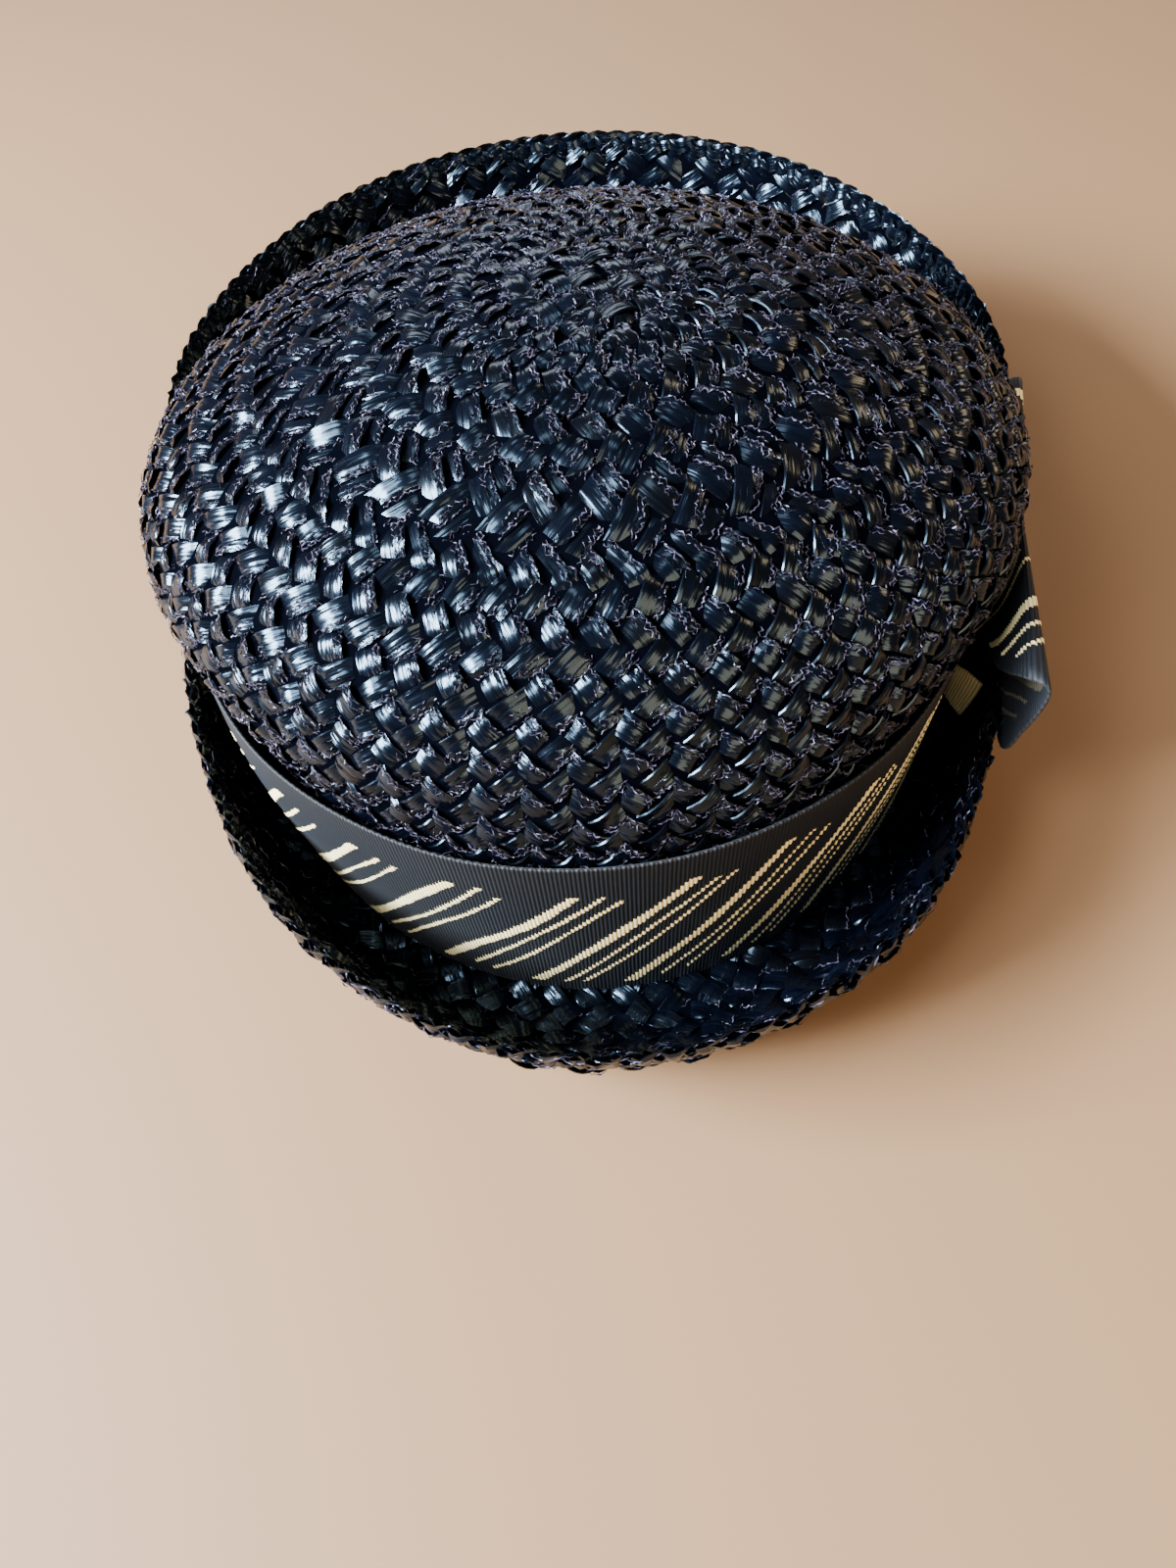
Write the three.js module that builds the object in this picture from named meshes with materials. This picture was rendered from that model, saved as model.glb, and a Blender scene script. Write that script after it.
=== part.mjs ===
// A Breton hat: a domed straw crown, a straw brim that turns up all round with a woven edge on its rim,
// a grosgrain ribbon band and a flat ribbon bow that stands between crown and brim at the wearer's right.
// Millimetres, +Z up, +Y towards the face, +X towards the wearer's right.

import * as THREE from "three";

// Walls, and the clearance between sewn neighbours
const STRAW = 2;
const RIBBON = 1;
const GAP = 0.3;

// The headline is the outside of the band at its lower edge
const HEADLINE_HALF_WIDTH = 84.2;
const HEADLINE_HALF_LENGTH = 103.2;
const HEADLINE_Z = 3;

// Crown: a row for each level section, with heights above the headline
const CROWN_SECTIONS = [
  { height: STRAW + GAP - HEADLINE_Z, halfWidth: 82.9, halfLength: 101.9, shift: 0 },
  { height: 17, halfWidth: 85.0, halfLength: 102.2, shift: 0 },
  { height: 34, halfWidth: 87.0, halfLength: 102.4, shift: 0 },
  { height: 50, halfWidth: 89.0, halfLength: 102.6, shift: 0.2 },
  { height: 56, halfWidth: 93.8, halfLength: 101.9, shift: 0.6 },
  { height: 62, halfWidth: 96.7, halfLength: 99.8, shift: 1.1 },
  { height: 68.5, halfWidth: 96.2, halfLength: 96.0, shift: 1.5 },
  { height: 76, halfWidth: 89.3, halfLength: 88.3, shift: 1.0 },
  { height: 84, halfWidth: 76.0, halfLength: 76.0, shift: -0.8 },
  { height: 92, halfWidth: 59.5, halfLength: 60.0, shift: -3.0 },
  { height: 99, halfWidth: 40.0, halfLength: 41.0, shift: -5.0 },
  { height: 103, halfWidth: 20.0, halfLength: 21.0, shift: -7.0 },
  { height: 104.5, halfWidth: 0, halfLength: 0, shift: -8.0 },
];
const CROWN_RINGS = 24;

// Brim: a row every 30 degrees from the front, by the wearer's left, the back and the right;
// reach is how far the rim stands out from the headline, and height how far above it
const RIM_ROWS = [
  { reach: 47.5, height: 64.0 },
  { reach: 48.5, height: 60.0 },
  { reach: 40.0, height: 50.5 },
  { reach: 15.5, height: 40.0 },
  { reach: 15.0, height: 33.5 },
  { reach: 22.5, height: 30.4 },
  { reach: 29.6, height: 30.0 },
  { reach: 26.5, height: 30.5 },
  { reach: 16.0, height: 33.5 },
  { reach: 18.0, height: 40.0 },
  { reach: 38.0, height: 50.5 },
  { reach: 46.0, height: 60.0 },
];
const ROOT_FLAT = 5; // flat ring that the hat rests on, out to here from the headline
const BEND_START = 0.42; // how far out the lower bend is aimed, as a share of the reach
const BEND_END = { reach: 0.82, height: 0.45 }; // where the upper bend is aimed from
const BRIM_RINGS = 7;
const EDGE = { tall: 4.8, thick: 3.4, sides: 8 };

// Ribbon band: straight sided, wider at its top than at the headline
const BAND_WIDTH = 50;
const BAND_TOP_HALF_WIDTH = 90.5;
const BAND_TOP_HALF_LENGTH = 104.4;

// Bow: the knot's place round the head, counted from the back towards the wearer's right
const KNOT_ANGLE = THREE.MathUtils.degToRad(78);
const BOW_RADIUS = 101; // mean radius that turns a length along the band into an angle
const KNOT = { halfLength: 11.5, low: 16, high: 29, near: 0.9, far: 5.6, corner: 1.4, facets: 48 };

// Bow strips: a row for each station along the ribbon, with the places of its two edges. Along is the
// distance round the head from the knot, off the distance from the band, and rise the height above the
// headline. A loop leaves the knot on the crown's side, rises, folds over the rim and comes back outside.
const LOOP_ROWS = [
  { edgeAlong: 9, edgeOff: 2.3, edgeRise: 17, innerAlong: 1, innerOff: 2.3, innerRise: 17 },
  { edgeAlong: 9.5, edgeOff: 2.4, edgeRise: 30.5, innerAlong: 1, innerOff: 2.4, innerRise: 30.5 },
  { edgeAlong: 19, edgeOff: 2.9, edgeRise: 38, innerAlong: 0.8, innerOff: 3.0, innerRise: 41 },
  { edgeAlong: 33, edgeOff: 5.2, edgeRise: 47, innerAlong: 0.8, innerOff: 4.4, innerRise: 50 },
  { edgeAlong: 44, edgeOff: 12.5, edgeRise: 54, innerAlong: 0.8, innerOff: 5.4, innerRise: 54 },
  { edgeAlong: 48, edgeOff: 17.4, edgeRise: 53.5, innerAlong: 0.8, innerOff: 6.4, innerRise: 53 },
  { edgeAlong: 48.5, edgeOff: 17.6, edgeRise: 47, innerAlong: 0.8, innerOff: 6.8, innerRise: 48 },
  { edgeAlong: 43, edgeOff: 13.2, edgeRise: 39.5, innerAlong: 0.8, innerOff: 6.6, innerRise: 41 },
  { edgeAlong: 28, edgeOff: 7.6, edgeRise: 34.5, innerAlong: 0.8, innerOff: 5.6, innerRise: 35 },
  { edgeAlong: 9.5, edgeOff: 4.2, edgeRise: 30, innerAlong: 1, innerOff: 4.2, innerRise: 30 },
  { edgeAlong: 9, edgeOff: 4.1, edgeRise: 17, innerAlong: 1, innerOff: 4.1, innerRise: 17 },
];
const TUCK_ROWS = [
  { edgeAlong: 20, edgeOff: 0.9, edgeRise: 22, innerAlong: 20, innerOff: 0.9, innerRise: 33 },
  { edgeAlong: 33, edgeOff: 0.9, edgeRise: 22, innerAlong: 33, innerOff: 0.9, innerRise: 40 },
  { edgeAlong: 38, edgeOff: 2.4, edgeRise: 22, innerAlong: 38, innerOff: 2.4, innerRise: 42 },
  { edgeAlong: 34, edgeOff: 3.9, edgeRise: 22, innerAlong: 34, innerOff: 3.9, innerRise: 40 },
  { edgeAlong: 26, edgeOff: 3.6, edgeRise: 22, innerAlong: 26, innerOff: 3.6, innerRise: 34 },
];
const STRIP_SPANS = 4; // facets across a strip
const TOWARDS_BACK = -1;
const TOWARDS_FRONT = 1;
const STATIONS_PER_ROW = 3;

const TURN_STEPS = 64;

const straw = new THREE.MeshStandardMaterial({ color: 0x14141c, roughness: 0.35, metalness: 0 });
const edgeStraw = new THREE.MeshStandardMaterial({ color: 0x12121a, roughness: 0.4, metalness: 0 });
const ribbon = new THREE.MeshStandardMaterial({ color: 0x17181d, roughness: 0.7, metalness: 0 });

// A point on a smooth curve through four values of one column
function smooth(before, from, to, after, share) {
  const slopeFrom = (to - before) / 2;
  const slopeTo = (after - from) / 2;
  const square = share * share;
  const cube = square * share;
  return (
    from * (2 * cube - 3 * square + 1) +
    slopeFrom * (cube - 2 * square + share) +
    to * (3 * square - 2 * cube) +
    slopeTo * (cube - square)
  );
}

// A row between the rows of a table, where rowAt also answers for rows past either end
function rowBetween(rowAt, place) {
  const first = Math.floor(place);
  const rows = [-1, 0, 1, 2].map((step) => rowAt(first + step));
  const mixed = {};
  for (const column of Object.keys(rows[1])) {
    mixed[column] = smooth(...rows.map((row) => row[column]), place - first);
  }
  return mixed;
}

// The row past an open end carries straight on
function openRow(rows, index) {
  const last = rows.length - 1;
  if (index >= 0 && index <= last) return rows[index];
  const [end, inner] = index < 0 ? [rows[0], rows[1]] : [rows[last], rows[last - 1]];
  const beyond = {};
  for (const column of Object.keys(end)) {
    beyond[column] = 2 * end[column] - inner[column];
  }
  return beyond;
}

// The row past the crown's tip is the far side of the dome
function crownRow(index) {
  const last = CROWN_SECTIONS.length - 1;
  if (index <= last) return openRow(CROWN_SECTIONS, index);
  const mirror = CROWN_SECTIONS[2 * last - index] ?? CROWN_SECTIONS[0];
  return { ...mirror, halfWidth: -mirror.halfWidth, halfLength: -mirror.halfLength };
}

// Angles run from the back of the head towards the wearer's right
const turnAngle = (step) => (step / TURN_STEPS) * 2 * Math.PI;
const turns = Array.from({ length: TURN_STEPS }, (_, step) => turnAngle(step));

// A point outside the headline, square to its oval
function headlinePoint(angle, out, z) {
  const normal = new THREE.Vector2(
    Math.sin(angle) / HEADLINE_HALF_WIDTH,
    -Math.cos(angle) / HEADLINE_HALF_LENGTH,
  ).normalize();
  return new THREE.Vector3(
    HEADLINE_HALF_WIDTH * Math.sin(angle) + normal.x * out,
    -HEADLINE_HALF_LENGTH * Math.cos(angle) + normal.y * out,
    z,
  );
}

// A closed solid through rings of points; open rows of rings are closed by caps at both ends
function solidThrough(rings, { joinEnds = false, tips = null } = {}) {
  const count = rings[0].length;
  const points = rings.flat();
  const faces = [];
  const spans = joinEnds ? rings.length : rings.length - 1;
  for (let ring = 0; ring < spans; ring++) {
    const here = ring * count;
    const next = ((ring + 1) % rings.length) * count;
    for (let side = 0; side < count; side++) {
      const other = (side + 1) % count;
      faces.push([here + side, here + other, next + other], [here + side, next + other, next + side]);
    }
  }
  if (!joinEnds) {
    const middle = (ring) => ring.reduce((sum, p) => sum.add(p), new THREE.Vector3()).divideScalar(count);
    const [startTip, endTip] = tips ?? [middle(rings[0]), middle(rings.at(-1))];
    const lastRing = (rings.length - 1) * count;
    points.push(startTip, endTip);
    for (let side = 0; side < count; side++) {
      const other = (side + 1) % count;
      faces.push([points.length - 2, other, side]);
      faces.push([points.length - 1, lastRing + side, lastRing + other]);
    }
  }
  let volume = 0;
  for (const [a, b, c] of faces) {
    volume += points[a].dot(new THREE.Vector3().crossVectors(points[b], points[c]));
  }
  const outward = volume > 0 ? faces : faces.map(([a, b, c]) => [a, c, b]);
  const geometry = new THREE.BufferGeometry().setFromPoints(points);
  geometry.setIndex(outward.flat());
  geometry.computeVertexNormals();
  return geometry;
}

function crownPoint(place, angle) {
  const section = rowBetween(crownRow, place);
  return new THREE.Vector3(
    section.halfWidth * Math.sin(angle),
    section.shift - section.halfLength * Math.cos(angle),
    HEADLINE_Z + section.height,
  );
}

// The crown's inner point lies one wall thickness in from its outer point
function crownInnerPoint(place, angle) {
  const step = 0.01;
  const round = crownPoint(place, angle + step).sub(crownPoint(place, angle - step));
  const up = crownPoint(place + step, angle).sub(crownPoint(place - step, angle));
  const outward = round.cross(up);
  if (place === 0) outward.z = 0;
  return crownPoint(place, angle).addScaledVector(outward.normalize(), -STRAW);
}

function makeCrown() {
  const tipPlace = CROWN_SECTIONS.length - 1;
  const places = Array.from({ length: CROWN_RINGS }, (_, ring) => (ring / CROWN_RINGS) * tipPlace);
  const outer = places.map((place) => turns.map((angle) => crownPoint(place, angle)));
  const inner = places.map((place) => turns.map((angle) => crownInnerPoint(place, angle)));
  const tip = crownPoint(tipPlace, 0);
  const innerTip = tip.clone().setZ(tip.z - STRAW);
  return solidThrough([...outer.reverse(), ...inner], { tips: [tip, innerTip] });
}

// The upper face of the brim from its flat root to the finished rim, as distance out and height
function brimCurve(angle) {
  const place = ((angle / (2 * Math.PI)) * RIM_ROWS.length + RIM_ROWS.length / 2) % RIM_ROWS.length;
  const rowAt = (index) => RIM_ROWS[(index + RIM_ROWS.length) % RIM_ROWS.length];
  const rim = rowBetween(rowAt, place);
  const reach = rim.reach - ROOT_FLAT;
  return new THREE.CubicBezierCurve(
    new THREE.Vector2(ROOT_FLAT, STRAW),
    new THREE.Vector2(ROOT_FLAT + BEND_START * reach, STRAW),
    new THREE.Vector2(ROOT_FLAT + BEND_END.reach * reach, STRAW + BEND_END.height * rim.height),
    new THREE.Vector2(rim.reach, HEADLINE_Z + rim.height),
  );
}

const outwardOf = (tangent) => new THREE.Vector2(tangent.y, -tangent.x);

function makeBrim() {
  const innerEdge = -(RIBBON + GAP + STRAW);
  const rings = turns.map((angle) => {
    const curve = brimCurve(angle);
    const top = 1 - (EDGE.tall + GAP) / curve.getLength();
    const upper = [];
    const lower = [];
    for (let ring = 0; ring <= BRIM_RINGS; ring++) {
      const share = (ring / BRIM_RINGS) * top;
      const point = curve.getPointAt(share);
      upper.push(point);
      lower.push(point.clone().addScaledVector(outwardOf(curve.getTangentAt(share)), STRAW));
    }
    const root = [new THREE.Vector2(innerEdge, 0), new THREE.Vector2(innerEdge, STRAW)];
    return [...root, ...upper, ...lower.reverse()].map((p) => headlinePoint(angle, p.x, p.y));
  });
  return solidThrough(rings, { joinEnds: true });
}

function makeBrimEdge() {
  const rings = turns.map((angle) => {
    const curve = brimCurve(angle);
    const tangent = curve.getTangentAt(1);
    const outward = outwardOf(tangent);
    const centre = curve
      .getPointAt(1)
      .addScaledVector(tangent, -EDGE.tall / 2)
      .addScaledVector(outward, STRAW / 2);
    return Array.from({ length: EDGE.sides }, (_, side) => {
      const turn = (side / EDGE.sides) * 2 * Math.PI;
      const point = centre
        .clone()
        .addScaledVector(tangent, (EDGE.tall / 2) * Math.cos(turn))
        .addScaledVector(outward, (EDGE.thick / 2) * Math.sin(turn));
      return headlinePoint(angle, point.x, point.y);
    });
  });
  return solidThrough(rings, { joinEnds: true });
}

// A point on the band's outer face, or off it by a distance square to the headline
function bandPoint(angle, height, off) {
  const share = height / BAND_WIDTH;
  const halfWidth = THREE.MathUtils.lerp(HEADLINE_HALF_WIDTH, BAND_TOP_HALF_WIDTH, share);
  const halfLength = THREE.MathUtils.lerp(HEADLINE_HALF_LENGTH, BAND_TOP_HALF_LENGTH, share);
  const away = headlinePoint(angle, off, 0).sub(headlinePoint(angle, 0, 0));
  return new THREE.Vector3(
    halfWidth * Math.sin(angle) + away.x,
    -halfLength * Math.cos(angle) + away.y,
    HEADLINE_Z + height,
  );
}

function makeBand() {
  const rings = turns.map((angle) => [
    bandPoint(angle, 0, 0),
    bandPoint(angle, BAND_WIDTH, 0),
    bandPoint(angle, BAND_WIDTH, -RIBBON),
    bandPoint(angle, 0, -RIBBON),
  ]);
  return solidThrough(rings, { joinEnds: true });
}

// A strip of ribbon through the stations of a table, running from the knot along one way round the head
function makeStrip(rows, way) {
  const middlePoint = (place, share) => {
    const station = rowBetween((index) => openRow(rows, index), place);
    const across = (column) => THREE.MathUtils.lerp(station[`edge${column}`], station[`inner${column}`], share);
    return bandPoint(KNOT_ANGLE + (way * across("Along")) / BOW_RADIUS, across("Rise"), across("Off"));
  };
  const facePoint = (place, share, side) => {
    const step = 0.01;
    const lengthwise = middlePoint(place + step, share).sub(middlePoint(place - step, share));
    const crosswise = middlePoint(place, share + step).sub(middlePoint(place, share - step));
    const normal = lengthwise.cross(crosswise).normalize();
    return middlePoint(place, share).addScaledVector(normal, (side * RIBBON) / 2);
  };
  const shares = Array.from({ length: STRIP_SPANS + 1 }, (_, span) => span / STRIP_SPANS);
  const steps = (rows.length - 1) * STATIONS_PER_ROW;
  const rings = Array.from({ length: steps + 1 }, (_, step) => {
    const place = step / STATIONS_PER_ROW;
    const front = shares.map((share) => facePoint(place, share, 1));
    const back = shares.map((share) => facePoint(place, share, -1));
    return [...front, ...back.reverse()];
  });
  return solidThrough(rings);
}

// The knot is a flat sleeve of ribbon round the feet of the loops
function makeKnot() {
  const outline = (grow) => {
    const sleeve = new THREE.Path();
    const radius = KNOT.corner + grow;
    const [near, far] = [KNOT.near - grow, KNOT.far + grow];
    const end = KNOT.halfLength + grow;
    sleeve.absarc(end - radius, far - radius, radius, 0, Math.PI / 2);
    sleeve.absarc(radius - end, far - radius, radius, Math.PI / 2, Math.PI);
    sleeve.absarc(radius - end, near + radius, radius, Math.PI, Math.PI * 1.5);
    sleeve.absarc(end - radius, near + radius, radius, Math.PI * 1.5, Math.PI * 2);
    sleeve.closePath();
    return sleeve.getSpacedPoints(KNOT.facets).slice(0, -1);
  };
  const outside = outline(RIBBON / 2);
  const inside = outline(-RIBBON / 2);
  const place = (point, rise) => bandPoint(KNOT_ANGLE + point.x / BOW_RADIUS, rise, point.y);
  const rings = outside.map((point, index) => [
    place(point, KNOT.low),
    place(point, KNOT.high),
    place(inside[index], KNOT.high),
    place(inside[index], KNOT.low),
  ]);
  return solidThrough(rings, { joinEnds: true });
}

const hat = new THREE.Group();
const pieces = [
  { name: "crown", geometry: makeCrown(), material: straw },
  { name: "brim", geometry: makeBrim(), material: straw },
  { name: "brim_edge", geometry: makeBrimEdge(), material: edgeStraw },
  { name: "ribbon_band", geometry: makeBand(), material: ribbon },
  { name: "bow_loop_back", geometry: makeStrip(LOOP_ROWS, TOWARDS_BACK), material: ribbon },
  { name: "bow_loop_front", geometry: makeStrip(LOOP_ROWS, TOWARDS_FRONT), material: ribbon },
  { name: "bow_knot", geometry: makeKnot(), material: ribbon },
  { name: "bow_tuck", geometry: makeStrip(TUCK_ROWS, TOWARDS_BACK), material: ribbon },
];
for (const { name, geometry, material } of pieces) {
  const mesh = new THREE.Mesh(geometry, material);
  mesh.name = name;
  hat.add(mesh);
}

// The origin is under the middle of the hat's box, at floor level
const box = new THREE.Box3().setFromObject(hat, true);
const middle = box.getCenter(new THREE.Vector3());
hat.position.set(-middle.x, -middle.y, -box.min.z);

export default hat;
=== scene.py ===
"""A Breton hat of glossy navy straw: a woven crown and brim, a plaited rim, a striped ribbon and a bow.

Lengths are millimetres in the hat's own frame, whose origin is the middle of the headline at the
ribbon's lower edge; place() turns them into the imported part's metres.
"""

import bpy
import numpy as np
from mathutils import Matrix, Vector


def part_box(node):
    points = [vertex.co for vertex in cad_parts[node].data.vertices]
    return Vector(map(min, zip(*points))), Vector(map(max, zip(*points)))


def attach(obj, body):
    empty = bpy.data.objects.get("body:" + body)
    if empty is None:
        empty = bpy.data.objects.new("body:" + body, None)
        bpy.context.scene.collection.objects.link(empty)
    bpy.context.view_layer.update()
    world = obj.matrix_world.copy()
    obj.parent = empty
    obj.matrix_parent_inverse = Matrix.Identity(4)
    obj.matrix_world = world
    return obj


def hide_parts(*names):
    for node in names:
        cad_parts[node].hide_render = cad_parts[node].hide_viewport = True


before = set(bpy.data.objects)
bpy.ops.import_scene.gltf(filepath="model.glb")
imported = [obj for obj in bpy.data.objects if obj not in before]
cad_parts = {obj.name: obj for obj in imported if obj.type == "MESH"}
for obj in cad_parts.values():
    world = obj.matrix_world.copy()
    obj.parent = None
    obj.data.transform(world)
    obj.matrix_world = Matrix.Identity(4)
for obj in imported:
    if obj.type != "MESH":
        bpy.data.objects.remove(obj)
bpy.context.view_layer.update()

MM = 0.001
TURN = 2 * np.pi
low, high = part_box("ribbon_band")
HEADLINE = np.array([(low.x + high.x) / 2, (low.y + high.y) / 2, low.z])

# Walls and the oval that the band follows at its lower edge
STRAW = 2.0
HALF_WIDTH = 84.2
HALF_LENGTH = 103.2
FLOOR = -3.0

# Crown sections: height, half width, half length, shift
CROWN_SECTIONS = np.array([
    (-0.7, 82.9, 101.9, 0.0),
    (17, 85.0, 102.2, 0.0),
    (34, 87.0, 102.4, 0.0),
    (50, 89.0, 102.6, 0.2),
    (56, 93.8, 101.9, 0.6),
    (62, 96.7, 99.8, 1.1),
    (68.5, 96.2, 96.0, 1.5),
    (76, 89.3, 88.3, 1.0),
    (84, 76.0, 76.0, -0.8),
    (92, 59.5, 60.0, -3.0),
    (99, 40.0, 41.0, -5.0),
    (103, 20.0, 21.0, -7.0),
    (104.5, 0.0, 0.0, -8.0),
])

# Rim, every 30 degrees from the front by the wearer's left: reach from the headline, height above it
RIM_ROWS = np.array([
    (47.5, 64.0),
    (48.5, 60.0),
    (40.0, 50.5),
    (15.5, 40.0),
    (15.0, 33.5),
    (22.5, 30.4),
    (29.6, 30.0),
    (26.5, 30.5),
    (16.0, 33.5),
    (18.0, 40.0),
    (38.0, 50.5),
    (46.0, 60.0),
])
ROOT_FLAT = 5.0
BEND_START = 0.42
BEND_END = (0.82, 0.45)
ROOT_INSET = 2.5

# Strands of the crown: rings where the weave gets finer, its strands from there on, and where the new ones
# start; between their start and the last ring they lie beside the older ones and cross with them as pairs.
# Then the length of a full row of the weave, over and under, by the distance from the tip
CROWN_ZONES = [(9.0, 17, 9.0), (21.0, 34, 18.0), (70.0, 68, 45.0)]
PAIR_FADE = (44.0, 51.0)
PAIR_SINK = 0.5
PAIR_WIDTH = 0.65
CROWN_ROWS = np.array([
    (0, 9.5), (32, 9.8), (42, 10.3), (47, 11.7), (54, 12.9), (60, 13.7), (66, 13.3), (70, 12.2), (76, 11.4),
    (84, 11.0), (90, 10.2), (95, 8.6), (99, 7.2), (104, 5.9), (200, 5.8),
])
CROWN_WEAVE_END = 131.0
CROWN_SINK = (126.5, 131.0, 0.8)

# The weave's middle lies off the tip, to the right and to the front, and the rings even out lower down
WEAVE_SHIFT = (4.0, 6.0)
SHIFT_FADES = ((80.0, 104.0), (30.0, 90.0))

# Section of a flat strand: place across it as a share of its width, rise, and how far the point wanders up
# and down; the first two points are a crumpled flap beside the flat part
PLATE_SECTION = np.array([
    (-0.50, -0.06, 0.36),
    (-0.30, 0.08, 0.36),
    (-0.10, 0.20, 0.08),
    (0.45, 0.14, 0.05),
    (0.49, -0.16, 0.00),
    (-0.44, -0.20, 0.00),
])
PLATE_CREASE = 2
CREASE_WANDER = (0.10, 0.22)
PLATE_SHARP = (0, 1, 2, 3, 4, 5)
PLATE_CAP = [(0, 1, 2, 5), (2, 3, 4, 5)]
PLATE_SHARE = 0.90
PLATE_LEAN = 9.0
WIDEST_PITCH = 5.7
PLATE_STEP = 1.35
WEAVE_DEPTH = 0.80

# Threads that fray from one side of a strand: place across the pitch, how far they stray sideways and up,
# and how much of the way they are missing, from -1 for none to 1 for all
FRAY_THREADS = [(-0.40, 0.40, 0.25, -0.6), (-0.26, 0.50, 0.35, -0.35), (-0.10, 0.50, 0.35, 0.05)]
FRAY_STEP = 0.49
FRAY_RISE = 0.34
FRAY_RADIUS = (0.06, 0.21)
COARSE_FRAY = 0.65
FRAY_SIDES = 3

rng = np.random.default_rng(20)


def place(points):
    """Hat-frame millimetres to metres in the part's frame."""
    return np.asarray(points, float) * MM + HEADLINE


def unit(vectors):
    return vectors / np.linalg.norm(vectors, axis=-1, keepdims=True)


def catmull(before, start, end, after, share):
    """A point on the smooth curve from start to end."""
    slope_start = (end - before) / 2
    slope_end = (after - start) / 2
    square, cube = share**2, share**3
    return (
        start * (2 * cube - 3 * square + 1)
        + slope_start * (cube - 2 * square + share)
        + end * (3 * square - 2 * cube)
        + slope_end * (cube - square)
    )


def rows_between(rows, places, pads=None):
    """Smooth rows at fractional places of a table; pads are the rows past its two ends."""
    first_pad, last_pad = pads if pads else (2 * rows[0] - rows[1], 2 * rows[-1] - rows[-2])
    padded = np.vstack([first_pad, rows, last_pad])
    first = np.clip(np.floor(places).astype(int), 0, len(rows) - 2)
    share = (places - first)[..., None]
    return catmull(padded[first], padded[first + 1], padded[first + 2], padded[first + 3], share)


def slow_noise(shape, step, generator):
    """Smooth noise along the last axis, with a new value every step places."""
    count = shape[-1]
    knots = generator.uniform(-1, 1, shape[:-1] + (count // step + 3,))
    places = np.arange(count) / step
    first = places.astype(int)
    share = places - first
    share = share * share * (3 - 2 * share)
    return knots[..., first] * (1 - share) + knots[..., first + 1] * share


# Surfaces


def crown_profile():
    """Rows from the tip down: distance from the tip, then the columns of the sections."""
    last = len(CROWN_SECTIONS) - 1
    beyond = CROWN_SECTIONS[-2] * (1, -1, -1, 1)
    places = np.linspace(last, 0, 1600)
    start_pad = 2 * CROWN_SECTIONS[0] - CROWN_SECTIONS[1]
    rows = rows_between(CROWN_SECTIONS, places, (start_pad, beyond))
    radius = (rows[:, 1] + rows[:, 2]) / 2
    steps = np.hypot(np.diff(radius), np.diff(rows[:, 0]))
    arc = np.concatenate([[0], np.cumsum(steps)])
    return np.column_stack([arc, rows])


CROWN = crown_profile()


def crown_radius(arc):
    return np.interp(arc, CROWN[:, 0], (CROWN[:, 2] + CROWN[:, 3]) / 2)


def crown_point(arc, angle):
    height, half_width, half_length, shift = (np.interp(arc, CROWN[:, 0], CROWN[:, k]) for k in (1, 2, 3, 4))
    return np.stack([half_width * np.sin(angle), shift - half_length * np.cos(angle), height], -1)


def crown_surface(arc, angle):
    """Points in the middle of the crown's wall, and its outward normals."""
    arc = np.maximum(arc, 0.6)
    round_it = crown_point(arc, angle + 0.01) - crown_point(arc, angle - 0.01)
    down = crown_point(arc + 0.4, angle) - crown_point(arc - 0.4, angle)
    normal = unit(np.cross(down, round_it))
    return crown_point(arc, angle) - normal * STRAW / 2, normal


def rim_at(angle):
    places = (angle / TURN * len(RIM_ROWS) + len(RIM_ROWS) / 2) % len(RIM_ROWS)
    closed = np.vstack([RIM_ROWS, RIM_ROWS[:1]])
    return rows_between(closed, places, (RIM_ROWS[-1], RIM_ROWS[1]))


BRIM_ANGLES = 720
BRIM_SHARES = 80


def brim_table():
    """Distance out, height and length along the brim, by angle and share of its length."""
    angles = np.arange(BRIM_ANGLES) / BRIM_ANGLES * TURN
    rim = rim_at(angles)
    reach, rise = rim[:, :1] - ROOT_FLAT, rim[:, 1:]
    t = np.linspace(0, 1, 200)[None]
    base = STRAW + FLOOR
    out = (
        (1 - t) ** 3 * ROOT_FLAT
        + 3 * (1 - t) ** 2 * t * (ROOT_FLAT + BEND_START * reach)
        + 3 * (1 - t) * t**2 * (ROOT_FLAT + BEND_END[0] * reach)
        + t**3 * (ROOT_FLAT + reach)
    )
    up = (
        (1 - t) ** 3 * base
        + 3 * (1 - t) ** 2 * t * base
        + 3 * (1 - t) * t**2 * (base + BEND_END[1] * rise)
        + t**3 * rise
    )
    root = np.linspace(-ROOT_INSET, ROOT_FLAT, 20)[None, :-1] + 0 * reach
    out = np.hstack([root, out])
    up = np.hstack([root * 0 + base, up])
    length = np.hstack([0 * reach, np.cumsum(np.hypot(np.diff(out), np.diff(up)), axis=1)])
    shares = np.linspace(0, 1, BRIM_SHARES + 1)
    rows = []
    for k in range(BRIM_ANGLES):
        at = shares * length[k, -1]
        rows.append(np.stack([np.interp(at, length[k], out[k]), np.interp(at, length[k], up[k])], -1))
    return np.array(rows), length[:, -1]


BRIM, BRIM_LENGTH = brim_table()


def brim_length(angle):
    places = (angle / TURN * BRIM_ANGLES) % BRIM_ANGLES
    return np.interp(places, np.arange(BRIM_ANGLES + 1), np.append(BRIM_LENGTH, BRIM_LENGTH[0]))


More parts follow.
